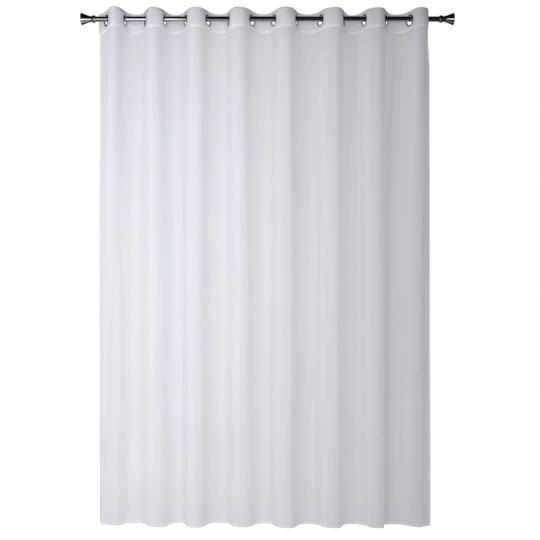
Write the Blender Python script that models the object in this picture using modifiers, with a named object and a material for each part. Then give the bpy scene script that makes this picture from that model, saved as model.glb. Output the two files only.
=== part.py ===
"""Sheer voile eyelet curtain, hung in eight folds on a round metal rod with trumpet finials.

Metres, +Z up, +X along the rod, the room at -Y and the window at +Y.
The origin is on the rod's axis, half-way along it.
"""

from collections import namedtuple
import math

import bmesh
import bpy
from mathutils import Vector

MM = 0.001
GAP = 0.3 * MM

# Rod: a round tube.
ROD_RADIUS = 12.5 * MM
ROD_WALL = 1.0 * MM
ROD_HALF_LENGTH = 882 * MM
ROD_SIDES = 24

# Finial: a socket over the rod's end inside a rounded collar, a neck and a trumpet.
FINIAL_INNER_X = 868 * MM
FINIAL_LENGTH = 72 * MM
COLLAR_LENGTH = 17 * MM
COLLAR_RADIUS = 18.2 * MM
COLLAR_EDGE_RADIUS = 14.6 * MM
SOCKET_DEPTH = ROD_HALF_LENGTH - FINIAL_INNER_X + GAP
NECK_RADIUS = 13.5 * MM
FLARE_RADIUS = 30 * MM
FLARE_LENGTH = 50 * MM
FLARE_POWER = 1.3
FLARE_STEPS = 6
END_DOME = 1.5 * MM
END_BEVEL = 1.6 * MM
FINIAL_SIDES = 20

# Cloth, as heights from the rod's axis.
HEADING_TOP = 40 * MM
HEADING_FOOT = -58 * MM
HEADING_THICKNESS = 2.0 * MM
PANEL_TOP = HEADING_FOOT - GAP
HEM = -2560 * MM
HEM_SLOPE = -0.0036
PANEL_THICKNESS = 1.2 * MM
PANEL_ROWS = 8

# The heading's free left corner droops, and the panel below it is a little narrower.
CORNER_DROOP = 15 * MM
CORNER_RUN = 60 * MM
PANEL_INSET = 4.5 * MM

# Eyelet: a sleeve through the heading with a flange on each face.
EYELET_BORE_RADIUS = 22 * MM
EYELET_SLEEVE_RADIUS = 23.4 * MM
EYELET_FLANGE_RADIUS = 30 * MM
EYELET_CHANNEL = HEADING_THICKNESS + 2 * GAP
FLANGE_EDGE = 0.7 * MM
FLANGE_ROOT = 1.2 * MM
EYELET_DROP = 8.2 * MM
EYELET_SIDES = 16
HOLE_RADIUS = EYELET_SLEEVE_RADIUS + GAP

# Half the length over which a flank of the cloth runs straight.
HEADING_FLAT = 30.5 * MM
HEM_FLAT = 10 * MM
CREST_STEPS = 5

# The cloth runs from left to right in flanks, alternately towards the room and back.
# Each row is one flank and the crest that it leads to: where the flank crosses the middle
# of the fold and how steeply it turns from the rod's line, at the heading (on the eyelet)
# and at the hem. X, Y in mm, turns in degrees.
Flank = namedtuple(
    "Flank",
    "eyelet_x eyelet_turn crest_x crest_y hem_x hem_turn hem_crest_x hem_crest_y",
)
FLANKS = (
    Flank(-814, 58, -763, -66, -843, 66, -789, -8),
    Flank(-720, 84, -674, 49, -731, 62, -684, 37),
    Flank(-617, 72, -572, -57, -615, 55, -558, -41),
    Flank(-518, 79, -473, 58, -502, 64, -451, 35),
    Flank(-414, 67, -358, -57, -412, 74, -362, -44),
    Flank(-301, 67, -244, 48, -310, 72, -253, 41),
    Flank(-195, 77, -139, -60, -185, 62, -128, -37),
    Flank(-78, 60, -22, 47, -73, 64, -18, 35),
    Flank(32, 64, 95, -60, 37, 66, 90, -48),
    Flank(147, 74, 203, 48, 148, 62, 193, 31),
    Flank(268, 61, 332, -53, 268, 50, 328, -42),
    Flank(386, 76, 433, 61, 376, 68, 423, 33),
    Flank(489, 70, 550, -48, 495, 52, 548, -39),
    Flank(601, 66, 654, 49, 583, 98, 629, 31),
    Flank(719, 62, 768, -54, 703, 46, 758, -14),
    Flank(809, 85, 820, 62, 799, 38, 826, 16),
)

# The cloth's left free edge, where it starts in mm and how it turns towards the room in
# degrees, and the turn back towards the window in which its right free edge ends.
Edge = namedtuple("Edge", "x y turn")
LEFT_EDGE_HEADING = Edge(-862, 48, 30)
LEFT_EDGE_HEM = Edge(-858, 40, 75)
RIGHT_TURN_HEADING = 72
RIGHT_TURN_HEM = 80

# Handle lengths of the curves that round a crest, as shares of the chord: flank end, crest end.
HEADING_HANDLES = (0.36, 0.40)
HEM_HANDLES = (0.30, 0.55)

Section = namedtuple("Section", "centres turns crests left right_turn flat handles")


def clear_scene():
    """Empty the scene."""
    for item in list(bpy.data.objects):
        bpy.data.objects.remove(item, do_unlink=True)


def make_collection(name):
    """A collection linked to the scene."""
    collection = bpy.data.collections.new(name)
    bpy.context.scene.collection.children.link(collection)
    return collection


def make_material(name, colour, roughness, metallic):
    """A Principled material of one colour."""
    material = bpy.data.materials.new(name)
    material.use_nodes = True
    shader = material.node_tree.nodes["Principled BSDF"]
    shader.inputs["Base Color"].default_value = (*colour, 1.0)
    shader.inputs["Roughness"].default_value = roughness
    shader.inputs["Metallic"].default_value = metallic
    material.diffuse_color = (*colour, 1.0)
    return material


def add_object(name, mesh, collection, material):
    """An object of the mesh, in the collection, with the material."""
    item = bpy.data.objects.new(name, mesh)
    collection.objects.link(item)
    if not mesh.materials:
        mesh.materials.append(material)
    return item


def add_solidify(item, thickness):
    """Give an open surface its thickness, half to each side."""
    shell = item.modifiers.new("thickness", "SOLIDIFY")
    shell.thickness = thickness
    shell.offset = 0.0
    shell.use_even_offset = True
    return shell


def add_screw(item, sides):
    """Turn a profile about the object's Z axis."""
    turn = item.modifiers.new("turn", "SCREW")
    turn.axis = "Z"
    turn.angle = math.tau
    turn.steps = sides
    turn.render_steps = sides
    turn.use_merge_vertices = True
    turn.merge_threshold = 0.00001
    turn.use_smooth_shade = True
    return turn


def make_profile(name, points, closed):
    """A mesh of edges through (radius, height) points, in the XZ plane."""
    mesh = bpy.data.meshes.new(name)
    bm = bmesh.new()
    corners = [bm.verts.new((radius, 0.0, height)) for radius, height in points]
    for start, end in zip(corners, corners[1:]):
        bm.edges.new((start, end))
    if closed:
        bm.edges.new((corners[-1], corners[0]))
    bm.to_mesh(mesh)
    bm.free()
    return mesh


def bezier(start, start_direction, end, end_direction, handles, steps):
    """Points of a cubic curve after its start, up to and with its end."""
    chord = (end - start).length
    first = start + start_direction * (handles[0] * chord)
    last = end - end_direction * (handles[1] * chord)
    points = []
    for step in range(1, steps + 1):
        t = step / steps
        s = 1.0 - t
        point = start * s**3 + first * (3 * s**2 * t) + last * (3 * s * t**2) + end * t**3
        points.append(point)
    return points


def plan_direction(turn, towards_room):
    """The unit vector, in plan, of cloth that turns from the rod's line."""
    angle = math.radians(-turn if towards_room else turn)
    return Vector((math.cos(angle), math.sin(angle)))


def leads_to_room(index):
    """The flanks lead alternately towards the room and back, the first towards the room."""
    return index % 2 == 0


def heading_section():
    """The cloth's plan at the heading, with each flank centred on the rod's axis."""
    return Section(
        centres=[Vector((row.eyelet_x, 0.0)) * MM for row in FLANKS],
        turns=[row.eyelet_turn for row in FLANKS],
        crests=[Vector((row.crest_x, row.crest_y)) * MM for row in FLANKS],
        left=LEFT_EDGE_HEADING,
        right_turn=RIGHT_TURN_HEADING,
        flat=HEADING_FLAT,
        handles=HEADING_HANDLES,
    )


def hem_section():
    """The cloth's plan at the hem, with each flank centred between the crests beside it."""
    crest_depths = [LEFT_EDGE_HEM.y] + [row.hem_crest_y for row in FLANKS]
    centres = []
    for row, before, after in zip(FLANKS, crest_depths, crest_depths[1:]):
        centres.append(Vector((row.hem_x, (before + after) / 2)) * MM)
    return Section(
        centres=centres,
        turns=[row.hem_turn for row in FLANKS],
        crests=[Vector((row.hem_crest_x, row.hem_crest_y)) * MM for row in FLANKS],
        left=LEFT_EDGE_HEM,
        right_turn=RIGHT_TURN_HEM,
        flat=HEM_FLAT,
        handles=HEM_HANDLES,
    )


def plan_points(section):
    """The plan's points from left to right: round each crest and straight along each flank."""
    crest_turns = [0] * (len(section.crests) - 1) + [section.right_turn]
    here = Vector((section.left.x, section.left.y)) * MM
    here_direction = plan_direction(section.left.turn, True)
    to_crest = section.handles
    from_crest = section.handles[::-1]
    points = [here]
    for index, (centre, crest) in enumerate(zip(section.centres, section.crests)):
        direction = plan_direction(section.turns[index], leads_to_room(index))
        flank_start = centre - direction * section.flat
        flank_end = centre + direction * section.flat
        crest_direction = plan_direction(crest_turns[index], False)
        points += bezier(here, here_direction, flank_start, direction, from_crest, CREST_STEPS)
        points.append(flank_end)
        points += bezier(flank_end, direction, crest, crest_direction, to_crest, CREST_STEPS)
        here, here_direction = crest, crest_direction
    return points


def make_sheet(name, columns, rows, place):
    """A grid of faces, each corner put by place(column, row share), rows from foot to top."""
    mesh = bpy.data.meshes.new(name)
    bm = bmesh.new()
    bmesh.ops.create_grid(bm, x_segments=columns, y_segments=rows, size=1.0)
    for corner in bm.verts:
        column = round((corner.co.x + 1.0) / 2 * columns)
        share = (corner.co.y + 1.0) / 2
        corner.co = place(column, share)
    for face in bm.faces:
        face.smooth = True
    bm.to_mesh(mesh)
    bm.free()
    return mesh


def corner_droop(plan, column):
    """How far the heading's foot hangs below its level near the free left corner."""
    from_edge = min((plan[column] - plan[0]).length / CORNER_RUN, 1.0)
    return CORNER_DROOP * (1.0 - from_edge) ** 2


def build_heading(plan, collection, cutters, material):
    """The stiffened strip, with a hole for each eyelet."""

    def place(column, share):
        point = plan[column]
        foot = HEADING_FOOT - corner_droop(plan, column)
        return Vector((point.x, point.y, foot + (HEADING_TOP - foot) * share))

    mesh = make_sheet("heading", len(plan) - 1, 1, place)
    heading = add_object("heading", mesh, collection, material)
    add_solidify(heading, HEADING_THICKNESS)
    holes = heading.modifiers.new("eyelet holes", "BOOLEAN")
    holes.operation = "DIFFERENCE"
    holes.solver = "EXACT"
    holes.object = build_hole_cutter(cutters, material)
    return heading


def build_panel(plan_top, plan_foot, collection, material):
    """The voile from the heading's foot to the hem, its folds easing from one plan to the other."""
    narrow_top = [plan_top[0] + Vector((PANEL_INSET, 0.0))] + plan_top[1:]

    def place(column, share):
        fall = 1.0 - share
        ease = fall * (2.0 - fall)
        point = narrow_top[column].lerp(plan_foot[column], ease)
        top = PANEL_TOP - corner_droop(plan_top, column)
        hem = HEM + HEM_SLOPE * point.x
        return Vector((point.x, point.y, hem + (top - hem) * share))

    mesh = make_sheet("panel", len(plan_top) - 1, PANEL_ROWS, place)
    panel = add_object("panel", mesh, collection, material)
    add_solidify(panel, PANEL_THICKNESS)
    return panel


def eyelet_places(section):
    """Each eyelet's centre and the direction of its bore, square to its flank."""
    places = []
    for index, centre in enumerate(section.centres):
        flank = plan_direction(section.turns[index], leads_to_room(index))
        bore = Vector((abs(flank.y), -flank.x * math.copysign(1.0, flank.y), 0.0))
        places.append((Vector((centre.x, centre.y, -EYELET_DROP)), bore))
    return places


def build_hole_cutter(cutters, material):
    """One mesh of cylinders, one through the heading at each eyelet."""
    mesh = bpy.data.meshes.new("eyelet hole cutter")
    bm = bmesh.new()
    for centre, bore in eyelet_places(heading_section()):
        turn = bore.to_track_quat("Z", "Y").to_matrix().to_4x4()
        turn.translation = centre
        bmesh.ops.create_cone(
            bm,
            cap_ends=True,
            segments=EYELET_SIDES,
            radius1=HOLE_RADIUS,
            radius2=HOLE_RADIUS,
            depth=HEADING_THICKNESS * 3,
            matrix=turn,
        )
    bm.to_mesh(mesh)
    bm.free()
    cutter = add_object("eyelet hole cutter", mesh, cutters, material)
    cutter.hide_render = True
    cutter.display_type = "WIRE"
    return cutter


def build_eyelets(collection, material):
    """The clamped rings, all of one turned profile."""
    half_channel = EYELET_CHANNEL / 2
    root = half_channel + FLANGE_ROOT
    edge = half_channel + FLANGE_EDGE
    points = (
        (EYELET_BORE_RADIUS, root),
        (EYELET_FLANGE_RADIUS, edge),
        (EYELET_FLANGE_RADIUS, half_channel),
        (EYELET_SLEEVE_RADIUS, half_channel),
        (EYELET_SLEEVE_RADIUS, -half_channel),
        (EYELET_FLANGE_RADIUS, -half_channel),
        (EYELET_FLANGE_RADIUS, -edge),
        (EYELET_BORE_RADIUS, -root),
    )
    mesh = make_profile("eyelet", points, closed=True)
    for number, (centre, bore) in enumerate(eyelet_places(heading_section()), start=1):
        eyelet = add_object(f"eyelet_{number:02d}", mesh, collection, material)
        eyelet.location = centre
        eyelet.rotation_mode = "QUATERNION"
        eyelet.rotation_quaternion = bore.to_track_quat("Z", "Y")
        add_screw(eyelet, EYELET_SIDES)


def build_rod(collection, material):
    """The tube, as an open cylinder given its wall."""
    bpy.ops.mesh.primitive_cylinder_add(
        vertices=ROD_SIDES,
        radius=ROD_RADIUS,
        depth=2 * ROD_HALF_LENGTH,
        end_fill_type="NOTHING",
        rotation=(0.0, math.pi / 2, 0.0),
    )
    rod = bpy.context.object
    rod.name = "rod"
    rod.data.name = "rod"
    for home in list(rod.users_collection):
        home.objects.unlink(rod)
    collection.objects.link(rod)
    rod.data.materials.append(material)
    wall = add_solidify(rod, ROD_WALL)
    wall.offset = -1.0
    rod.data.shade_smooth()


def finial_profile():
    """The trumpet's outline from the middle of its end face to the bottom of its socket."""
    points = [
        (0.0, FINIAL_LENGTH + END_DOME),
        (FLARE_RADIUS * 0.55, FINIAL_LENGTH + END_DOME * 0.7),
        (FLARE_RADIUS - END_BEVEL, FINIAL_LENGTH),
    ]
    flare_top = FINIAL_LENGTH - END_BEVEL
    for step in range(FLARE_STEPS + 1):
        share = 1.0 - step / FLARE_STEPS
        radius = NECK_RADIUS + (FLARE_RADIUS - NECK_RADIUS) * share**FLARE_POWER
        points.append((radius, flare_top - FLARE_LENGTH * (1.0 - share)))
    points += [
        (NECK_RADIUS, COLLAR_LENGTH),
        (COLLAR_EDGE_RADIUS, COLLAR_LENGTH),
        (COLLAR_RADIUS - 0.9 * MM, COLLAR_LENGTH * 0.78),
        (COLLAR_RADIUS, COLLAR_LENGTH * 0.5),
        (COLLAR_RADIUS - 0.9 * MM, COLLAR_LENGTH * 0.22),
        (COLLAR_EDGE_RADIUS, 0.0),
        (ROD_RADIUS + GAP, 0.0),
        (ROD_RADIUS + GAP, SOCKET_DEPTH),
        (0.0, SOCKET_DEPTH),
    ]
    return points


def build_finials(collection, material):
    """The two trumpets, pushed over the ends of the rod."""
    mesh = make_profile("finial", finial_profile(), closed=False)
    for name, side in (("finial_left", -1.0), ("finial_right", 1.0)):
        finial = add_object(name, mesh, collection, material)
        finial.location = (side * FINIAL_INNER_X, 0.0, 0.0)
        finial.rotation_euler = (0.0, side * math.pi / 2, 0.0)
        add_screw(finial, FINIAL_SIDES)


def main():
    clear_scene()
    parts = make_collection("voile curtain on a rod")
    cutters = make_collection("cutters")
    voile = make_material("white voile", (0.82, 0.83, 0.87), 0.85, 0.0)
    heading_cloth = make_material("stitched white heading", (0.78, 0.79, 0.84), 0.8, 0.0)
    ring_metal = make_material("dark nickel eyelet", (0.10, 0.10, 0.11), 0.25, 1.0)
    rod_metal = make_material("black nickel", (0.05, 0.045, 0.045), 0.15, 1.0)

    plan_top = plan_points(heading_section())
    plan_foot = plan_points(hem_section())
    build_heading(plan_top, parts, cutters, heading_cloth)
    build_panel(plan_top, plan_foot, parts, voile)
    build_eyelets(parts, ring_metal)
    build_rod(parts, rod_metal)
    build_finials(parts, rod_metal)


main()
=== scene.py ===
from collections import namedtuple
import bisect
import math

import bmesh
import bpy
from mathutils import Matrix, Vector, noise


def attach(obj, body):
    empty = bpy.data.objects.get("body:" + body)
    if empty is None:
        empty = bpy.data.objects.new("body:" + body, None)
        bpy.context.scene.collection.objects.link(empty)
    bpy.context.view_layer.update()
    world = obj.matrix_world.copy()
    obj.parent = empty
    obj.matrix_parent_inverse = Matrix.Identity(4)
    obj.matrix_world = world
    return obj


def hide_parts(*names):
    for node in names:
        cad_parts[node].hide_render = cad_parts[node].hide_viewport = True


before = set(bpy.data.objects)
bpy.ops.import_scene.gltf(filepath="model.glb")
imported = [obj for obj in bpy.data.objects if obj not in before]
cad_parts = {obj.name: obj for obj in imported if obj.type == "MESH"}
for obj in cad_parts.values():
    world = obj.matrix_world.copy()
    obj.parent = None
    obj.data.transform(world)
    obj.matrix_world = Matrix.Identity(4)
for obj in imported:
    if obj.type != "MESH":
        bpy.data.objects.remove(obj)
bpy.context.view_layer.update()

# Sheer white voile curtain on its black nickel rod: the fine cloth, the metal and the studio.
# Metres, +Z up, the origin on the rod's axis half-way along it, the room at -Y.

MM = 0.001
BODY = "root"

# ---------------------------------------------------------------- driving sizes

ROD_RADIUS = 12.5 * MM
ROD_WALL = 1.0 * MM
FINIAL_INNER_X = 868 * MM
FINIAL_LENGTH = 72 * MM
COLLAR_LENGTH = 17 * MM
COLLAR_RADIUS = 18.2 * MM
COLLAR_EDGE_RADIUS = 14.6 * MM
NECK_RADIUS = 13.5 * MM
FLARE_RADIUS = 30 * MM
FLARE_LENGTH = 50 * MM
FLARE_POWER = 1.3
END_DOME = 1.5 * MM
# The finial's shallow end dome, as shares of the flare's radius and of the dome's height.
END_DOME_SHAPE = ((0.0, 1.0), (0.3, 0.92), (0.6, 0.66), (0.82, 0.3))
RIM_BEVEL = 1.4 * MM
# The fillet where the neck meets the collar: out from the neck, and up from the collar.
NECK_FILLET = ((0.0, 2 * MM), (0.2 * MM, 0.4 * MM))
SOCKET_RADIUS = ROD_RADIUS + 0.3 * MM
SOCKET_MOUTH = 0.2 * MM
SOCKET_DEPTH = 14 * MM
ROD_IN_SOCKET = 13.7 * MM

HEADING_TOP = 40 * MM
HEADING_FOOT = -58 * MM
HEADING_THICKNESS = 1.5 * MM
HEM = -2560 * MM
HEM_SLOPE = -0.0036
# The heading's free left corner droops by so much, from so far in.
CORNER_DROOP = 15 * MM
CORNER_RUN = 60 * MM
# The voile's left edge starts this far in from the heading's, over so many columns of points.
PANEL_INSET = 4.5 * MM
INSET_COLUMNS = 8
# Its right edge swings out this far once it has fallen this share of the drop.
RIGHT_OUTSET = 13 * MM
OUTSET_START = 0.07
OUTSET_COLUMNS = 30
# The voile's top is tucked up behind the heading's foot.
TUCK = 8 * MM
TUCK_BEHIND = 1.2 * MM

EYELET_BORE_RADIUS = 22 * MM
EYELET_SLEEVE_RADIUS = 23.4 * MM
EYELET_FLANGE_RADIUS = 30 * MM
EYELET_DROP = 8.2 * MM
FLANGE_ROOT = 1.1 * MM
FLANGE_RISE = 1.8 * MM
HOLE_RADIUS = EYELET_SLEEVE_RADIUS + 0.3 * MM
HOLE_CUTTER_DEPTH = 6 * MM

RING_STEPS = 56
ROD_STEPS = 64
HOLE_STEPS = 48
DOME_STEPS = 10
RIM_STEPS = 5
FLARE_STEPS = 18
COLLAR_STEPS = 16
SHARP_ANGLE = math.radians(40)

# Half the length of a flank that runs straight in plan, at the heading and at the hem.
HEADING_FLAT = 30.5 * MM
HEM_FLAT = 10 * MM

# The cloth runs from left to right in flanks, alternately towards the room and back.
# Each row is one flank and the crest that it leads to, at the heading and at the hem.
# X, Y in mm, turns in degrees.
Flank = namedtuple(
    "Flank",
    "eyelet_x eyelet_turn crest_x crest_y hem_x hem_turn hem_crest_x hem_crest_y",
)
FLANKS = (
    Flank(-814, 58, -763, -66, -843, 66, -789, -8),
    Flank(-720, 84, -674, 49, -731, 62, -684, 37),
    Flank(-617, 72, -572, -57, -615, 55, -558, -41),
    Flank(-518, 79, -473, 58, -502, 64, -451, 35),
    Flank(-414, 67, -358, -57, -412, 74, -362, -44),
    Flank(-301, 67, -244, 48, -310, 72, -253, 41),
    Flank(-195, 77, -139, -60, -185, 62, -128, -37),
    Flank(-78, 60, -22, 47, -73, 64, -18, 35),
    Flank(32, 64, 95, -60, 37, 66, 90, -48),
    Flank(147, 74, 203, 48, 148, 62, 193, 31),
    Flank(268, 61, 332, -53, 268, 50, 328, -42),
    Flank(386, 76, 433, 61, 376, 68, 423, 33),
    Flank(489, 70, 550, -48, 495, 52, 548, -39),
    Flank(601, 66, 654, 49, 583, 98, 629, 31),
    Flank(719, 62, 768, -54, 703, 46, 758, -14),
    Flank(809, 85, 820, 62, 799, 38, 826, 16),
)
Edge = namedtuple("Edge", "x y turn")
LEFT_EDGE_HEADING = Edge(-862, 48, 30)
LEFT_EDGE_HEM = Edge(-858, 40, 75)
RIGHT_TURN_HEADING = 72
RIGHT_TURN_HEM = 80
HEADING_HANDLES = (0.36, 0.40)
HEM_HANDLES = (0.30, 0.55)
# Away from the eyelets the heading eases: turns past this one keep only a share of the rest.
EASED_TURN = 62
EASED_SHARE = 0.35
EASED_FLAT = 14 * MM
EASED_HANDLES = (0.45, 0.34)
# How far from the eyelets' middle, up and down, the easing starts and is complete.
STIFF_REACH = (29 * MM, 47 * MM)
Section = namedtuple("Section", "centres turns crests left right_turn flat handles")

# The fine cloth's unevenness: the size across and along, the amount, and how far it reaches
# below the heading's seam, or None where it runs the whole way down.
RIPPLES = (
    ((48 * MM, 700 * MM), 2.2 * MM, None),
    ((22 * MM, 450 * MM), 0.8 * MM, None),
    ((16 * MM, 60 * MM), 0.9 * MM, 45 * MM),
)
RIPPLE_START = 80 * MM

# The main creases, each on its own: the distance across the flat cloth, half its width, how far
# it stands out to the room (less than 0: a trough), and its heights where it starts and ends.
Crease = namedtuple("Crease", "across half out top foot")
CREASES = (
    Crease(196, 30, 3.0, -100, -900),
    Crease(527, 30, 2.6, -120, -1300),
    Crease(872, 34, 3.2, -100, -1100),
    Crease(1204, 30, 2.4, -120, -800),
    Crease(1548, 27, 4.4, -90, -2700),
    Crease(1571, 9, -1.5, -110, -2700),
    Crease(1740, 30, 3.2, -80, -2700),
    Crease(1898, 36, 5.0, 160, -2700),
    Crease(1918, 9, -1.6, -130, -2500),
    Crease(2088, 30, 4.2, -150, -2700),
    Crease(2242, 36, 5.2, 160, -2700),
    Crease(2257, 9, -1.4, -140, -2300),
    Crease(2412, 42, 5.0, -80, -2700),
    Crease(2550, 38, 3.6, -260, -2700),
    Crease(2560, 32, 4.0, -1300, -2700),
)
CREASE_FADE = 120 * MM

CREST_STEPS = 22
FLANK_STEPS = 6
PANEL_ROWS = 88
HEADING_ROWS = 16
TAPE_FOOT = 14 * MM
FOOT_HEM = 10 * MM
SIDE_HEM = 12 * MM
# How cloth wraps round a turned edge: in from the fold, and out towards the window.
EDGE_WRAP = ((0.4 * MM, -0.1 * MM), (-0.2 * MM, 0.1 * MM), (0.6 * MM, 0.5 * MM))
FOOT_WRAP = EDGE_WRAP + ((0.5 * FOOT_HEM, 0.7 * MM), (FOOT_HEM, 0.4 * MM))
SIDE_WRAP = EDGE_WRAP + ((SIDE_HEM, 0.4 * MM),)
SIDE_HEM_ROWS = 60
SIDE_HEM_GAP = 1 * MM
# The columns of points that give a side edge's direction in along the cloth.
SIDE_COLUMNS = 3

STITCH_PITCH = 3.5 * MM
STITCH_RADIUS = 0.3 * MM
# Half a stitch's bead of thread, as a share of its step along the row.
STITCH_SHARE = 0.44
# How far in from a hem's turned edge its stitches run, and how far below the heading they start.
STITCH_INSET = 1.2 * MM
STITCH_START = 3 * MM
# How far the stitches' middle stands to the room from the middle of the voile and the heading.
VOILE_STITCH_PROUD = 0.3 * MM
HEADING_STITCH_PROUD = 0.95 * MM
HEADING_STITCH_HEIGHT = 1.8 * MM

# The real weave is about 0.4 mm from thread to thread. It is drawn four times coarser, to show.
WEAVE_PITCH = 1.6 * MM
WEAVE_HEIGHT = 0.15 * MM
# A wave texture of scale 1 repeats every tenth of pi.
WAVE_UNIT = math.pi / 10
# Widths and lengths of the thick and thin places in the warp threads, and the sums of their two
# noises that stand for the thinnest and the thickest.
WARP_STREAKS = ((9 * MM, 900 * MM), (3 * MM, 500 * MM))
STREAK_RANGE = (0.7, 1.3)
# Seen edge on, the cloth keeps this share of its openness.
SLANT_SHARE = 0.2
# The thinnest and the thickest threads' colours.
VOILE_COLOURS = ("#eceef4", "#f4f5fb")
TAPED_COLOURS = ("#edecf1", "#f4f3f8")
# Where cloth lies double along a foot, a strip of it is painted whiter: painted light for the
# brighter look of the double cloth. The strip's middle over the foot, half its width and its
# painted colour.
Band = namedtuple("Band", "middle half colour")
HEM_PAINTED_BAND = Band(8.5 * MM, 2.7 * MM, "#fafbff")
HEADING_PAINTED_BAND = Band(TAPE_FOOT / 2, TAPE_FOOT / 2, "#f8f8fc")

# The real thread's plies turn every 0.5 mm. They are drawn at twice that, to show.
PLY_PITCH = 1.0 * MM
THREAD_COLOURS = ("#e6e8ee", "#f8f9fc")
# Sizes of the clouds of handling on the metal, the noise from its cleanest to its most handled
# places, and their colours and roughness.
HANDLING_SIZE = 35 * MM
HANDLING_RANGE = (0.35, 0.7)
NICKEL_COLOURS = ("#b1aeb1", "#b9b6b9")
NICKEL_ROUGHNESS = (0.05, 0.13)
# The real hairlines in its polish are finer than 0.1 mm. They are drawn wider, to show.
HAIRLINE_LENGTH = 30 * MM
HAIRLINE_WIDTH = 0.5 * MM

# ---------------------------------------------------------------- camera, light and floor

# The photograph's eye: level with the cloth's lower middle, 3.9 m in front of the rod.
EYE = Vector((12.6 * MM, -3.9, -1.42))
PICTURE_PIXELS = 540
FOCAL_PIXELS = 771.65
HORIZON_ROW = 300
SENSOR = 36.0

# The page behind the curtain is white, and what shows through its cloth is the grey studio.
PAGE_WHITE = 1.0
SEEN_THROUGH = 0.13
ROOM_COLOUR = "#fffbff"
# World strength in front of the curtain and behind it, and the slants in Y where it changes.
ROOM_STRENGTH = (0.0, 0.365)
ROOM_CHANGE = (-0.1, 0.1)
# What polished metal mirrors near the horizon and overhead, and the slants in Z where it changes.
MIRRORED = (0.07, 0.012)
MIRRORED_CHANGE = (0.0, 0.35)
MIRRORED_COLOUR = "#e8cdc0"
FLOOR_GLOW = 0.362
FLOOR_PAINT = "#808080"
FLOOR_REACH = 6.0
FLOOR_DROP = 35 * MM
# Each softbox: name, place, the place it faces, size, watts, and the spread of its grid in degrees.
# These show in the metal and light nothing else.
METAL_SOFTBOXES = (
    ("metal far", (-1.36, -3.9, -1.42), (-0.2, 0.0, 0.0), (1.45, 1.0), 16.0, 180),
    ("metal left", (-0.68, -0.55, -0.26), (-0.68, 0.0, 0.0), (0.34, 0.2), 0.6, 180),
    ("metal low left", (-0.9, -0.54, -0.72), (-0.9, 0.0, 0.0), (0.8, 0.58), 0.87, 180),
    ("metal low middle", (-0.72, -0.54, -0.72), (-0.72, 0.0, 0.0), (1.15, 0.58), 1.26, 180),
    ("metal low right", (-0.6, -0.54, -0.72), (-0.6, 0.0, 0.0), (1.4, 0.58), 1.07, 180),
)
# These light the cloth and show in nothing.
SOFTBOXES = (
    ("front key", (-0.6, -1.6, -1.4), (-0.5, 0.0, -1.4), (1.0, 3.2), 7.8, 90),
    ("front fill", (0.1, -1.2, -1.4), (0.0, 0.0, -1.4), (0.8, 3.2), 8.4, 180),
    ("far left", (-3.5, -3.4, -1.4), (0.0, 0.0, -1.4), (1.2, 3.2), 52.0, 180),
    ("far front left", (-1.5, -3.4, -1.4), (0.0, 0.0, -1.4), (1.2, 3.2), 33.0, 180),
    ("side left", (-2.4, -0.5, -1.4), (0.0, 0.0, -1.4), (1.0, 3.2), 12.6, 180),
    ("window left", (-3.4, 1.6, -1.4), (0.0, 0.0, -1.4), (1.0, 3.2), 26.0, 180),
    ("window middle", (-1.2, 1.6, -1.4), (0.0, 0.0, -1.4), (1.0, 3.2), 16.0, 180),
    ("window right", (0.6, 1.6, -1.4), (0.0, 0.0, -1.4), (1.0, 3.2), 6.5, 180),
    ("high front left", (-2.0, -2.0, 1.0), (0.0, 0.0, -1.4), (2.0, 1.0), 12.0, 180),
)


def make_camera():
    """A level camera whose horizon lies a little under the picture's middle."""
    data = bpy.data.cameras.new("camera")
    data.sensor_width = SENSOR
    data.lens = SENSOR * FOCAL_PIXELS / PICTURE_PIXELS
    data.shift_y = (HORIZON_ROW - PICTURE_PIXELS / 2) / PICTURE_PIXELS
    camera = bpy.data.objects.new("camera", data)
    camera.location = EYE
    camera.rotation_euler = (math.pi / 2, 0.0, 0.0)
    bpy.context.scene.collection.objects.link(camera)
    bpy.context.scene.camera = camera


def linear(hex_colour):
    """An sRGB hex value as a linear colour."""
    values = [int(hex_colour[i:i + 2], 16) / 255 for i in (1, 3, 5)]
    return tuple(v / 12.92 if v <= 0.04045 else ((v + 0.055) / 1.055) ** 2.4 for v in values)


def add_node(tree, kind, settings=None, inputs=None):
    """A node with its settings, and its inputs set to values or linked to sockets."""
    node = tree.nodes.new(kind)
    for name, value in (settings or {}).items():
        setattr(node, name, value)
    for name, value in (inputs or {}).items():
        if isinstance(value, bpy.types.NodeSocket):
            tree.links.new(value, node.inputs[name])
        else:
            node.inputs[name].default_value = value
    return node


def seen_strength(tree, path):
    """How bright the surroundings are to the eye: less where they show through cloth."""
    strength = add_node(
        tree,
        "ShaderNodeMapRange",
        inputs={"Value": path.outputs["Transparent Depth"], 3: PAGE_WHITE, 4: SEEN_THROUGH},
    )
    return strength.outputs[0]


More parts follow.
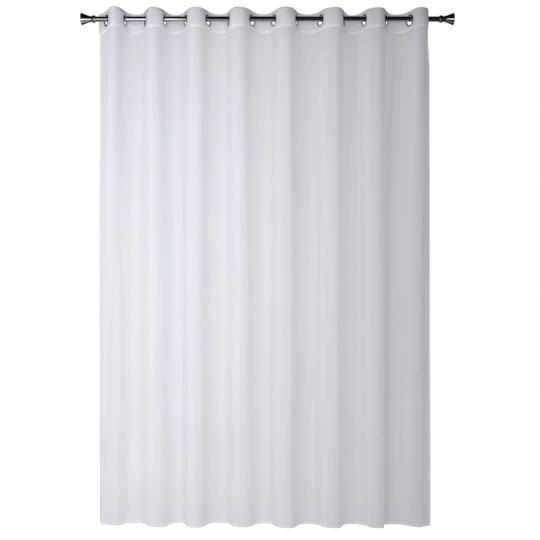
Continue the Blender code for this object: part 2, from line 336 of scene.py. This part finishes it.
def make_world():
    """White to the eye, and a soft grey studio to everything that it lights."""
    world = bpy.data.worlds.new("studio")
    bpy.context.scene.world = world
    world.use_nodes = True
    tree = world.node_tree
    tree.nodes.clear()
    path = add_node(tree, "ShaderNodeLightPath")
    page = seen_strength(tree, path)
    seen = add_node(tree, "ShaderNodeBackground", inputs={"Color": (1, 1, 1, 1), "Strength": page})
    towards = add_node(tree, "ShaderNodeTexCoord")
    parts = add_node(tree, "ShaderNodeSeparateXYZ", inputs={0: towards.outputs["Generated"]})
    depth = add_node(
        tree,
        "ShaderNodeMapRange",
        {"interpolation_type": "SMOOTHSTEP"},
        {
            "Value": parts.outputs["Y"],
            1: ROOM_CHANGE[0],
            2: ROOM_CHANGE[1],
            3: ROOM_STRENGTH[0],
            4: ROOM_STRENGTH[1],
        },
    )
    room = add_node(
        tree,
        "ShaderNodeBackground",
        inputs={"Color": (*linear(ROOM_COLOUR), 1), "Strength": depth.outputs[0]},
    )
    sheen = add_node(
        tree,
        "ShaderNodeMapRange",
        {"interpolation_type": "SMOOTHSTEP"},
        {
            "Value": parts.outputs["Z"],
            1: MIRRORED_CHANGE[0],
            2: MIRRORED_CHANGE[1],
            3: MIRRORED[0],
            4: MIRRORED[1],
        },
    )
    mirrored = add_node(
        tree,
        "ShaderNodeBackground",
        inputs={"Color": (*linear(MIRRORED_COLOUR), 1), "Strength": sheen.outputs[0]},
    )
    lighting = add_node(
        tree,
        "ShaderNodeMixShader",
        inputs={0: path.outputs["Is Glossy Ray"], 1: room.outputs[0], 2: mirrored.outputs[0]},
    )
    both = add_node(
        tree,
        "ShaderNodeMixShader",
        inputs={0: path.outputs["Is Camera Ray"], 1: lighting.outputs[0], 2: seen.outputs[0]},
    )
    add_node(tree, "ShaderNodeOutputWorld", inputs={"Surface": both.outputs[0]})


def make_softbox(name, place, target, size, watts, spread, mirrored=False):
    """A rectangular soft light, itself out of the picture: it lights cloth, or shows in metal."""
    data = bpy.data.lights.new(name, "AREA")
    data.shape = "RECTANGLE"
    data.size, data.size_y = size
    data.energy = watts
    data.spread = math.radians(spread)
    light = bpy.data.objects.new(name, data)
    light.location = place
    light.rotation_mode = "QUATERNION"
    light.rotation_quaternion = (Vector(target) - Vector(place)).to_track_quat("-Z", "Y")
    light.visible_camera = False
    light.visible_glossy = mirrored
    light.visible_diffuse = light.visible_transmission = not mirrored
    bpy.context.scene.collection.objects.link(light)


def add_object(name, bm):
    """A new object in the scene from a finished bmesh."""
    mesh = bpy.data.meshes.new(name)
    bm.to_mesh(mesh)
    bm.free()
    piece = bpy.data.objects.new(name, mesh)
    bpy.context.scene.collection.objects.link(piece)
    return piece


def make_floor():
    """A pale studio floor under the hem."""
    bm = bmesh.new()
    bmesh.ops.create_grid(bm, x_segments=1, y_segments=1, size=FLOOR_REACH)
    bmesh.ops.translate(bm, verts=bm.verts, vec=(0, 0, HEM - FLOOR_DROP))
    floor = add_object("floor", bm)
    material, tree, output = new_material("matt white painted floor")
    path = add_node(tree, "ShaderNodeLightPath")
    seen = seen_strength(tree, path)
    glow = add_node(
        tree,
        "ShaderNodeMapRange",
        inputs={"Value": path.outputs["Is Camera Ray"], 3: FLOOR_GLOW, 4: seen},
    )
    paint = add_node(
        tree,
        "ShaderNodeBsdfPrincipled",
        inputs={
            "Base Color": (*linear(FLOOR_PAINT), 1),
            "Roughness": 0.8,
            "Emission Color": (1, 1, 1, 1),
            "Emission Strength": glow.outputs[0],
        },
    )
    tree.links.new(paint.outputs[0], output.inputs["Surface"])
    floor.data.materials.append(material)
    floor.visible_glossy = False


# ---------------------------------------------------------------- the cloth's plan


def bezier(start, start_direction, end, end_direction, handles, steps):
    """Points of a cubic curve after its start, up to and with its end."""
    chord = (end - start).length
    first = start + start_direction * (handles[0] * chord)
    last = end - end_direction * (handles[1] * chord)
    points = []
    for step in range(1, steps + 1):
        t = step / steps
        s = 1.0 - t
        points.append(start * s**3 + first * (3 * s**2 * t) + last * (3 * s * t**2) + end * t**3)
    return points


def plan_direction(turn, towards_room):
    """The unit vector, in plan, of cloth that turns from the rod's line."""
    angle = math.radians(-turn if towards_room else turn)
    return Vector((math.cos(angle), math.sin(angle)))


def leads_to_room(index):
    """The flanks lead alternately towards the room and back, the first towards the room."""
    return index % 2 == 0


def clamped(value):
    """A value kept between 0 and 1."""
    return min(max(value, 0.0), 1.0)


def smooth_share(share):
    """A share from 0 to 1 that starts and ends gently."""
    return share * share * (3.0 - 2.0 * share)


def fall_share(height):
    """How far down a height lies between the heading's foot and the hem, from 0 to 1."""
    return clamped((HEADING_FOOT - height) / (HEADING_FOOT - HEM))


def heading_section():
    """The cloth's plan at the heading, with each flank centred on the rod's axis."""
    return Section(
        centres=[Vector((row.eyelet_x, 0.0)) * MM for row in FLANKS],
        turns=[row.eyelet_turn for row in FLANKS],
        crests=[Vector((row.crest_x, row.crest_y)) * MM for row in FLANKS],
        left=LEFT_EDGE_HEADING,
        right_turn=RIGHT_TURN_HEADING,
        flat=HEADING_FLAT,
        handles=HEADING_HANDLES,
    )


def hem_section():
    """The cloth's plan at the hem, with each flank centred between the crests beside it."""
    crest_depths = [LEFT_EDGE_HEM.y] + [row.hem_crest_y for row in FLANKS]
    centres = []
    for row, before, after in zip(FLANKS, crest_depths, crest_depths[1:]):
        centres.append(Vector((row.hem_x, (before + after) / 2)) * MM)
    return Section(
        centres=centres,
        turns=[row.hem_turn for row in FLANKS],
        crests=[Vector((row.hem_crest_x, row.hem_crest_y)) * MM for row in FLANKS],
        left=LEFT_EDGE_HEM,
        right_turn=RIGHT_TURN_HEM,
        flat=HEM_FLAT,
        handles=HEM_HANDLES,
    )


def plan_points(section):
    """The plan's points from left to right: round each crest and straight along each flank."""
    crest_turns = [0] * (len(section.crests) - 1) + [section.right_turn]
    here = Vector((section.left.x, section.left.y)) * MM
    here_direction = plan_direction(section.left.turn, True)
    to_crest = section.handles
    from_crest = section.handles[::-1]
    points = [here]
    for index, (centre, crest) in enumerate(zip(section.centres, section.crests)):
        direction = plan_direction(section.turns[index], leads_to_room(index))
        flank_start = centre - direction * section.flat
        flank_end = centre + direction * section.flat
        crest_direction = plan_direction(crest_turns[index], False)
        points += bezier(here, here_direction, flank_start, direction, from_crest, CREST_STEPS)
        for step in range(1, FLANK_STEPS + 1):
            points.append(flank_start.lerp(flank_end, step / FLANK_STEPS))
        points += bezier(flank_end, direction, crest, crest_direction, to_crest, CREST_STEPS)
        here, here_direction = crest, crest_direction
    return points


def eased_section():
    """The heading's plan at its top and foot, where the eyelets no longer hold the cloth flat."""
    section = heading_section()
    turns = [
        min(turn, EASED_TURN + EASED_SHARE * (turn - EASED_TURN)) for turn in section.turns[:-1]
    ]
    turns.append(section.turns[-1])
    return section._replace(turns=turns, flat=EASED_FLAT, handles=EASED_HANDLES)


PLAN_TOP = plan_points(heading_section())
PLAN_EASED = plan_points(eased_section())
PLAN_FOOT = plan_points(hem_section())
COLUMNS = len(PLAN_TOP) - 1
PLAN_LENGTHS = [0.0]
for start, end in zip(PLAN_TOP, PLAN_TOP[1:]):
    PLAN_LENGTHS.append(PLAN_LENGTHS[-1] + (end - start).length)
FLAT_WIDTH = PLAN_LENGTHS[-1]


def corner_droop(column):
    """How far the heading's foot hangs below its level near the free left corner."""
    from_edge = min((PLAN_TOP[column] - PLAN_TOP[0]).length / CORNER_RUN, 1.0)
    return CORNER_DROOP * (1.0 - from_edge) ** 2


def plan_at(column, height):
    """The cloth's place in plan at a column, at a height from the heading's top to the hem."""
    from_eyelets = abs(height + EYELET_DROP)
    ease = clamped((from_eyelets - STIFF_REACH[0]) / (STIFF_REACH[1] - STIFF_REACH[0]))
    upper = PLAN_TOP[column].lerp(PLAN_EASED[column], smooth_share(ease))
    fall = fall_share(height)
    return upper.lerp(PLAN_FOOT[column], fall * (2.0 - fall))


def window_side(column, height):
    """The unit vector, in plan, that points from the cloth towards the window."""
    before = plan_at(max(column - 1, 0), height)
    after = plan_at(min(column + 1, COLUMNS), height)
    along = (after - before).normalized()
    return Vector((-along.y, along.x, 0.0))


def make_sheet(name, columns, rows, place):
    """A grid of faces whose corners and flat-cloth coordinates place(column, row) gives."""
    bm = bmesh.new()
    flat = bm.loops.layers.uv.new("flat cloth in metres")
    bmesh.ops.create_grid(bm, x_segments=columns, y_segments=rows, size=1.0)
    cut = {}
    for corner in bm.verts:
        column = round((corner.co.x + 1.0) / 2 * columns)
        row = round((corner.co.y + 1.0) / 2 * rows)
        corner.co, cut[corner] = place(column, row)
    for face in bm.faces:
        face.smooth = True
        for loop in face.loops:
            loop[flat].uv = cut[loop.vert]
    return add_object(name, bm)


def panel_edges(column):
    """The heights of the voile's tucked top and of its hem."""
    return HEADING_FOOT + TUCK - corner_droop(column), HEM + HEM_SLOPE * PLAN_FOOT[column].x


def crease_depth(distance, height):
    """How far the creases push the voile to the room here, each a soft ridge or trough."""
    depth = 0.0
    for crease in CREASES:
        aside = abs(distance / MM - crease.across) / crease.half
        inside = min(crease.top * MM - height, height - crease.foot * MM) / CREASE_FADE
        if aside < 1.0 and inside > 0.0:
            rise = (1.0 - aside**2) ** 2
            depth += crease.out * MM * rise * smooth_share(min(inside, 1.0))
    return depth


def unevenness(distance, height):
    """How far the voile stands off its smooth folds: long ripples, and puckers under the seam."""
    under_seam = max(HEADING_FOOT - height, 0.0)
    out = -crease_depth(distance, height)
    for size, amount, reach in RIPPLES:
        here = noise.noise(Vector((distance / size[0], height / size[1], size[0] / MM)))
        if reach is None:
            share = min(under_seam / RIPPLE_START, 1.0)
        else:
            share = math.exp(-under_seam / reach)
        out += here * amount * share
    return out


def panel_point(column, height, outwards=0.0):
    """A point of the voile, moved outwards from it towards the window."""
    plan = plan_at(column, height)
    fall = fall_share(height)
    near_left = max(1.0 - column / INSET_COLUMNS, 0.0)
    near_right = max(1.0 - (COLUMNS - column) / OUTSET_COLUMNS, 0.0)
    aside = PANEL_INSET * near_left * (1.0 - fall) ** 2
    aside += RIGHT_OUTSET * near_right * min(fall / OUTSET_START, 1.0) * (1.0 - fall) ** 4
    outwards += unevenness(PLAN_LENGTHS[column], height)
    return Vector((plan.x + aside, plan.y, height)) + window_side(column, height) * outwards


def make_panel():
    """The voile from just under the heading's foot to the hem."""
    def place(column, row):
        share = row / PANEL_ROWS
        top, foot = panel_edges(column)
        height = foot + (top - foot) * share
        behind = TUCK_BEHIND if row == PANEL_ROWS else 0.0
        return panel_point(column, height, behind), (PLAN_LENGTHS[column], (top - foot) * share)

    return make_sheet("voile_panel", COLUMNS, PANEL_ROWS, place)


def make_foot_hem():
    """The cloth's foot, turned up behind it: a strip from the folded edge to the stitches."""
    def place(column, row):
        up, out = FOOT_WRAP[row]
        height = panel_edges(column)[1] + up
        return panel_point(column, height, out), (PLAN_LENGTHS[column], up)

    return make_sheet("foot_hem", COLUMNS, len(FOOT_WRAP) - 1, place)


def side_edge(edge_column, inwards, height):
    """A point of the cloth's side edge, and the unit vector from it in along the cloth."""
    edge = panel_point(edge_column, height)
    beside = panel_point(edge_column + inwards * SIDE_COLUMNS, height)
    return edge, (beside - edge).normalized()


def make_side_hem(name, edge_column, inwards):
    """The cloth's side, turned in behind it, from the heading to the foot."""
    def place(step, row):
        reach, out = SIDE_WRAP[step]
        top, foot = panel_edges(edge_column)
        highest = top - TUCK - SIDE_HEM_GAP
        lowest = foot + FOOT_HEM + SIDE_HEM_GAP
        height = lowest + (highest - lowest) * row / SIDE_HEM_ROWS
        edge, along = side_edge(edge_column, inwards, height)
        point = edge + along * reach + window_side(edge_column, height) * out
        return point, (reach, height - foot)

    return make_sheet(name, len(SIDE_WRAP) - 1, SIDE_HEM_ROWS, place)


def column_at(distance):
    """The column, with its fraction, at a distance across the flat cloth."""
    column = min(max(bisect.bisect_right(PLAN_LENGTHS, distance) - 1, 0), COLUMNS - 1)
    width = PLAN_LENGTHS[column + 1] - PLAN_LENGTHS[column]
    return column, (distance - PLAN_LENGTHS[column]) / width


def make_stitches(name, path):
    """A row of lockstitches: a small long bead of thread lies on each step of the path."""
    bm = bmesh.new()
    for start, end in path:
        along = end - start
        turn = along.to_track_quat("X", "Z").to_matrix().to_4x4()
        turn.translation = (start + end) / 2
        half = along.length * STITCH_SHARE
        size = Matrix.Diagonal((half, STITCH_RADIUS, STITCH_RADIUS, 1.0))
        bmesh.ops.create_icosphere(bm, subdivisions=1, radius=1.0, matrix=turn @ size)
    for face in bm.faces:
        face.smooth = True
    return add_object(name, bm)


def across_path(point_at):
    """Stitches across the whole width of the cloth, where point_at(column) is on its face."""
    points = []
    for step in range(1, int(FLAT_WIDTH / STITCH_PITCH)):
        column, part = column_at(step * STITCH_PITCH)
        points.append(point_at(column).lerp(point_at(column + 1), part))
    return list(zip(points, points[1:]))


def foot_stitch_point(column):
    """A point of the voile's room side where the foot hem's stitches run."""
    height = panel_edges(column)[1] + FOOT_HEM - STITCH_INSET
    return panel_point(column, height, -VOILE_STITCH_PROUD)


def down_path(edge_column, inwards, reach):
    """Stitches down a side hem, just inside its turned edge."""
    top, foot = panel_edges(edge_column)
    top -= TUCK + STITCH_START
    steps = int((top - foot - FOOT_HEM) / STITCH_PITCH)
    points = []
    for step in range(1, steps):
        height = top - step * STITCH_PITCH
        edge, along = side_edge(edge_column, inwards, height)
        proud = window_side(edge_column, height) * VOILE_STITCH_PROUD
        points.append(edge + along * reach - proud)
    return list(zip(points, points[1:]))


def heading_point(column, up, outwards):
    """A point of the heading at a height over its foot, moved towards the window."""
    height = HEADING_FOOT - corner_droop(column) + up
    plan = plan_at(column, height)
    outwards -= crease_depth(PLAN_LENGTHS[column], height)
    return Vector((plan.x, plan.y, height)) + window_side(column, height) * outwards


def eyelet_places():
    """Each eyelet's centre and the direction of its bore, square to its flank."""
    section = heading_section()
    places = []
    for index, centre in enumerate(section.centres):
        flank = plan_direction(section.turns[index], leads_to_room(index))
        bore = Vector((abs(flank.y), -flank.x * math.copysign(1.0, flank.y), 0.0))
        places.append((Vector((centre.x, centre.y, -EYELET_DROP)), bore))
    return places


def turned_to(centre, axis):
    """The matrix that stands a piece modelled about Z on an axis through a centre."""
    turn = axis.to_track_quat("Z", "Y").to_matrix().to_4x4()
    turn.translation = centre
    return turn


def make_heading():
    """The stiffened strip with its eyelet holes."""
    def place(column, row):
        up = (HEADING_TOP - HEADING_FOOT + corner_droop(column)) * row / HEADING_ROWS
        return heading_point(column, up, 0.0), (PLAN_LENGTHS[column], up)

    heading = make_sheet("voile_heading", COLUMNS, HEADING_ROWS, place)
    shell = heading.modifiers.new("thickness", "SOLIDIFY")
    shell.thickness = HEADING_THICKNESS
    shell.offset = 0.0
    bm = bmesh.new()
    for centre, bore in eyelet_places():
        bmesh.ops.create_cone(
            bm,
            cap_ends=True,
            segments=HOLE_STEPS,
            radius1=HOLE_RADIUS,
            radius2=HOLE_RADIUS,
            depth=HOLE_CUTTER_DEPTH,
            matrix=turned_to(centre, bore),
        )
    cutter = add_object("holes", bm)
    cut = heading.modifiers.new("holes", "BOOLEAN")
    cut.operation = "DIFFERENCE"
    cut.solver = "EXACT"
    cut.object = cutter
    bpy.context.view_layer.update()
    graph = bpy.context.evaluated_depsgraph_get()
    finished = bpy.data.meshes.new_from_object(heading.evaluated_get(graph))
    heading.modifiers.clear()
    heading.data = finished
    bpy.data.objects.remove(cutter, do_unlink=True)
    return heading


def spin_profile(name, points, closed, axis_matrix, steps):
    """A mesh turned about Z from (radius, height) points, then stood on an axis."""
    bm = bmesh.new()
    corners = [bm.verts.new((radius, 0.0, height)) for radius, height in points]
    edges = [bm.edges.new(pair) for pair in zip(corners, corners[1:])]
    if closed:
        edges.append(bm.edges.new((corners[-1], corners[0])))
    bmesh.ops.spin(
        bm,
        geom=corners + edges,
        cent=(0, 0, 0),
        axis=(0, 0, 1),
        angle=math.tau,
        steps=steps,
        use_merge=True,
    )
    bmesh.ops.remove_doubles(bm, verts=bm.verts, dist=0.001 * MM)
    bmesh.ops.recalc_face_normals(bm, faces=bm.faces)
    for face in bm.faces:
        face.smooth = True
    bmesh.ops.transform(bm, matrix=axis_matrix, verts=bm.verts)
    return add_object(name, bm)


def arc(centre, radii, start, end, steps):
    """Points of an elliptic arc between two angles in degrees."""
    points = []
    for step in range(steps + 1):
        angle = math.radians(start + (end - start) * step / steps)
        across = centre[0] + radii[0] * math.cos(angle)
        up = centre[1] + radii[1] * math.sin(angle)
        points.append((across, up))
    return points


def eyelet_profile():
    """One pressed ring: a domed flange on each face and the sleeve between them."""
    middle = (EYELET_BORE_RADIUS + EYELET_FLANGE_RADIUS) / 2
    dome = ((EYELET_FLANGE_RADIUS - EYELET_BORE_RADIUS) / 2, FLANGE_RISE)
    front = arc((middle, FLANGE_ROOT), dome, 180, 0, DOME_STEPS)
    back = arc((middle, -FLANGE_ROOT), dome, 0, -180, DOME_STEPS)
    sleeve = [(EYELET_SLEEVE_RADIUS, FLANGE_ROOT), (EYELET_SLEEVE_RADIUS, -FLANGE_ROOT)]
    return front + sleeve + back


def finial_profile():
    """The trumpet's outline from the middle of its end face to the foot of its socket."""
    points = [
        (FLARE_RADIUS * out, FINIAL_LENGTH + END_DOME * up) for out, up in END_DOME_SHAPE
    ]
    rim = FINIAL_LENGTH - RIM_BEVEL
    points += arc((FLARE_RADIUS - RIM_BEVEL, rim), (RIM_BEVEL, RIM_BEVEL), 90, 0, RIM_STEPS)
    for step in range(1, FLARE_STEPS + 1):
        share = 1.0 - step / FLARE_STEPS
        radius = NECK_RADIUS + (FLARE_RADIUS - NECK_RADIUS) * share**FLARE_POWER
        points.append((radius, rim - FLARE_LENGTH * (1.0 - share)))
    points += [(NECK_RADIUS + out, COLLAR_LENGTH + up) for out, up in NECK_FILLET]
    bead = (COLLAR_RADIUS - COLLAR_EDGE_RADIUS, COLLAR_LENGTH / 2)
    points += arc((COLLAR_EDGE_RADIUS, COLLAR_LENGTH / 2), bead, 88, -88, COLLAR_STEPS)
    points += [(SOCKET_RADIUS, SOCKET_MOUTH), (SOCKET_RADIUS, SOCKET_DEPTH), (0.0, SOCKET_DEPTH)]
    return points


# ---------------------------------------------------------------- materials


def new_material(name):
    """An empty node material, its node tree and its output."""
    material = bpy.data.materials.new(name)
    material.use_nodes = True
    tree = material.node_tree
    tree.nodes.clear()
    output = add_node(tree, "ShaderNodeOutputMaterial")
    return material, tree, output


def voile_material(name, colour, see_through, let_through, band):
    """Woven polyester voile: fine open matt threads, which let through light and a little sight."""
    material, tree, output = new_material(name)
    cloth = add_node(tree, "ShaderNodeUVMap", {"uv_map": "flat cloth in metres"})
    # Thicker and thinner warp threads run the length of the cloth as faint streaks.
    streaks = []
    for width, length in WARP_STREAKS:
        at = add_node(
            tree,
            "ShaderNodeMapping",
            inputs={"Vector": cloth.outputs[0], "Scale": (1 / width, 1 / length, 1.0)},
        )
        streaks.append(add_node(
            tree,
            "ShaderNodeTexNoise",
            inputs={"Vector": at.outputs[0], "Scale": 1.0, "Detail": 3.0, "Roughness": 0.6},
        ))
    both = add_node(
        tree,
        "ShaderNodeMath",
        {"operation": "ADD"},
        {0: streaks[0].outputs["Fac"], 1: streaks[1].outputs["Fac"]},
    )
    thin, thick = linear(colour[0]), linear(colour[1])
    tone = add_node(
        tree,
        "ShaderNodeMapRange",
        inputs={"Value": both.outputs[0], 1: STREAK_RANGE[0], 2: STREAK_RANGE[1]},
    )
    dyed = add_node(
        tree,
        "ShaderNodeMix",
        {"data_type": "RGBA"},
        {"Factor": tone.outputs[0], 6: (*thin, 1), 7: (*thick, 1)},
    )
    # Where the cloth lies double, along its foot, its colour is painted whiter: painted light for
    # the brighter look of the double cloth.
    up = add_node(tree, "ShaderNodeSeparateXYZ", inputs={0: cloth.outputs[0]})
    painted_light_band = add_node(
        tree,
        "ShaderNodeMath",
        {"operation": "COMPARE"},
        {0: up.outputs["Y"], 1: band.middle, 2: band.half},
    )
    dyed = add_node(
        tree,
        "ShaderNodeMix",
        {"data_type": "RGBA"},
        {"Factor": painted_light_band.outputs[0], 6: dyed.outputs[2], 7: (*linear(band.colour), 1)},
    ).outputs[2]
    weave = []
    for direction in ("X", "Y"):
        weave.append(add_node(
            tree,
            "ShaderNodeTexWave",
            {"wave_type": "BANDS", "bands_direction": direction},
            {"Vector": cloth.outputs[0], "Scale": WAVE_UNIT / WEAVE_PITCH},
        ))
    over_under = add_node(
        tree,
        "ShaderNodeMath",
        {"operation": "MULTIPLY"},
        {0: weave[0].outputs["Fac"], 1: weave[1].outputs["Fac"]},
    )
    relief = add_node(
        tree,
        "ShaderNodeBump",
        inputs={"Height": over_under.outputs[0], "Strength": 0.25, "Distance": WEAVE_HEIGHT},
    )
    threads = add_node(
        tree,
        "ShaderNodeBsdfPrincipled",
        inputs={
            "Base Color": dyed,
            "Roughness": 0.75,
            "Specular IOR Level": 0.2,
            "Sheen Weight": 0.15,
            "Sheen Roughness": 0.4,
            "Normal": relief.outputs[0],
        },
    )
    glow = add_node(
        tree,
        "ShaderNodeBsdfTranslucent",
        inputs={"Color": dyed, "Normal": relief.outputs[0]},
    )
    lit = add_node(
        tree,
        "ShaderNodeMixShader",
        inputs={0: let_through, 1: threads.outputs[0], 2: glow.outputs[0]},
    )
    # Seen at a slant, the threads close up and hide more.
    slant = add_node(tree, "ShaderNodeLayerWeight", inputs={"Blend": 0.5})
    open_share = add_node(
        tree,
        "ShaderNodeMapRange",
        inputs={"Value": slant.outputs["Facing"], 3: see_through, 4: SLANT_SHARE * see_through},
    )
    gaps = add_node(tree, "ShaderNodeBsdfTransparent")
    sheer = add_node(
        tree,
        "ShaderNodeMixShader",
        inputs={0: open_share.outputs[0], 1: lit.outputs[0], 2: gaps.outputs[0]},
    )
    tree.links.new(sheer.outputs[0], output.inputs["Surface"])
    return material


def thread_material():
    """Spun polyester sewing thread: white, matt, a little brighter than the cloth under it."""
    material, tree, output = new_material("white polyester sewing thread")
    place = add_node(tree, "ShaderNodeTexCoord")
    # The plies twist round each other in fine slanting bands of light and shade.
    plies = add_node(
        tree,
        "ShaderNodeTexWave",
        {"wave_type": "BANDS", "bands_direction": "DIAGONAL"},
        {"Vector": place.outputs["Object"], "Scale": WAVE_UNIT / PLY_PITCH, "Distortion": 0.5},
    )
    shaded, lit = linear(THREAD_COLOURS[0]), linear(THREAD_COLOURS[1])
    tone = add_node(
        tree,
        "ShaderNodeMix",
        {"data_type": "RGBA"},
        {"Factor": plies.outputs["Fac"], 6: (*shaded, 1), 7: (*lit, 1)},
    )
    twist = add_node(
        tree,
        "ShaderNodeBump",
        inputs={"Height": plies.outputs["Fac"], "Strength": 0.4, "Distance": 0.1 * MM},
    )
    shader = add_node(
        tree,
        "ShaderNodeBsdfPrincipled",
        inputs={
            "Base Color": tone.outputs[2],
            "Roughness": 0.7,
            "Sheen Weight": 0.2,
            "Normal": twist.outputs[0],
        },
    )
    tree.links.new(shader.outputs[0], output.inputs["Surface"])
    return material


def metal_material(name, colours, rough):
    """Polished plate: it mirrors the studio sharply, under cloudy handling marks and hairlines."""
    material, tree, output = new_material(name)
    place = add_node(tree, "ShaderNodeTexCoord")
    clouds = add_node(
        tree,
        "ShaderNodeTexNoise",
        inputs={
            "Vector": place.outputs["Object"],
            "Scale": 1 / HANDLING_SIZE,
            "Detail": 4.0,
            "Roughness": 0.55,
        },
    )
    # Where rings have slid along, and where hands have been, the polish is a little duller.
    polish = add_node(
        tree,
        "ShaderNodeMapRange",
        inputs={
            "Value": clouds.outputs["Fac"],
            1: HANDLING_RANGE[0],
            2: HANDLING_RANGE[1],
            3: rough[0],
            4: rough[1],
        },
    )
    clean, handled = linear(colours[0]), linear(colours[1])
    plate = add_node(
        tree,
        "ShaderNodeMix",
        {"data_type": "RGBA"},
        {"Factor": clouds.outputs["Fac"], 6: (*clean, 1), 7: (*handled, 1)},
    )
    along = add_node(
        tree,
        "ShaderNodeMapping",
        inputs={
            "Vector": place.outputs["Object"],
            "Scale": (1 / HAIRLINE_LENGTH, 1 / HAIRLINE_WIDTH, 1 / HAIRLINE_WIDTH),
        },
    )
    hairlines = add_node(
        tree,
        "ShaderNodeTexNoise",
        inputs={"Vector": along.outputs[0], "Scale": 1.0, "Detail": 2.0},
    )
    marks = add_node(
        tree,
        "ShaderNodeBump",
        inputs={"Height": hairlines.outputs["Fac"], "Strength": 0.05, "Distance": 0.02 * MM},
    )
    shader = add_node(
        tree,
        "ShaderNodeBsdfPrincipled",
        inputs={
            "Base Color": plate.outputs[2],
            "Metallic": 1.0,
            "Roughness": polish.outputs[0],
            "Normal": marks.outputs[0],
        },
    )
    tree.links.new(shader.outputs[0], output.inputs["Surface"])
    return material


# ---------------------------------------------------------------- making everything


def main():
    bpy.context.scene.view_settings.view_transform = "Standard"
    make_camera()
    make_world()
    for softbox in SOFTBOXES:
        make_softbox(*softbox)
    for softbox in METAL_SOFTBOXES:
        make_softbox(*softbox, mirrored=True)
    make_floor()

    voile = voile_material(
        "sheer white polyester voile",
        VOILE_COLOURS,
        see_through=0.2,
        let_through=0.5,
        band=HEM_PAINTED_BAND,
    )
    stiff = voile_material(
        "voile over heading tape",
        TAPED_COLOURS,
        see_through=0.05,
        let_through=0.62,
        band=HEADING_PAINTED_BAND,
    )
    thread = thread_material()
    nickel = metal_material("polished black nickel", NICKEL_COLOURS, NICKEL_ROUGHNESS)

    panel = make_panel()
    foot_hem = make_foot_hem()
    side_hems = [
        make_side_hem("side_hem_left", 0, 1),
        make_side_hem("side_hem_right", COLUMNS, -1),
    ]
    stitches = [
        make_stitches("foot_hem_stitches", across_path(foot_stitch_point)),
        make_stitches("side_stitches_left", down_path(0, 1, SIDE_HEM - STITCH_INSET)),
        make_stitches("side_stitches_right", down_path(COLUMNS, -1, SIDE_HEM - STITCH_INSET)),
        make_stitches("heading_foot_stitches", across_path(
            lambda column: heading_point(column, HEADING_STITCH_HEIGHT, -HEADING_STITCH_PROUD))),
        make_stitches("heading_tape_stitches", across_path(
            lambda column: heading_point(column, TAPE_FOOT, -HEADING_STITCH_PROUD))),
    ]
    for piece in [panel, foot_hem] + side_hems:
        piece.data.materials.append(voile)
    for piece in stitches:
        piece.data.materials.append(thread)
    for piece in [panel, foot_hem] + side_hems + stitches:
        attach(piece, BODY)
    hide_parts("panel")

    heading = make_heading()
    heading.data.materials.clear()
    heading.data.materials.append(stiff)
    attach(heading, BODY)
    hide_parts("heading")

    for number, (centre, bore) in enumerate(eyelet_places(), start=1):
        stand = turned_to(centre, bore)
        ring = spin_profile(f"eyelet_ring_{number:02d}", eyelet_profile(), True, stand, RING_STEPS)
        ring.data.materials.append(nickel)
        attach(ring, BODY)
        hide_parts(f"eyelet_{number:02d}")

    rod_half = FINIAL_INNER_X + ROD_IN_SOCKET
    rod_profile = [
        (ROD_RADIUS, rod_half),
        (ROD_RADIUS, -rod_half),
        (ROD_RADIUS - ROD_WALL, -rod_half),
        (ROD_RADIUS - ROD_WALL, rod_half),
    ]
    stand = turned_to(Vector(), Vector((1, 0, 0)))
    rod = spin_profile("rod_tube", rod_profile, True, stand, ROD_STEPS)
    rod.data.set_sharp_from_angle(angle=SHARP_ANGLE)
    rod.data.materials.append(nickel)
    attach(rod, BODY)
    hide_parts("rod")

    for name, side in (("left", -1), ("right", 1)):
        stand = turned_to(Vector((side * FINIAL_INNER_X, 0, 0)), Vector((side, 0, 0)))
        finial = spin_profile(
            f"trumpet_finial_{name}", finial_profile(), False, stand, ROD_STEPS
        )
        finial.data.set_sharp_from_angle(angle=SHARP_ANGLE)
        finial.data.materials.append(nickel)
        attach(finial, BODY)
        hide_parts(f"finial_{name}")


main()
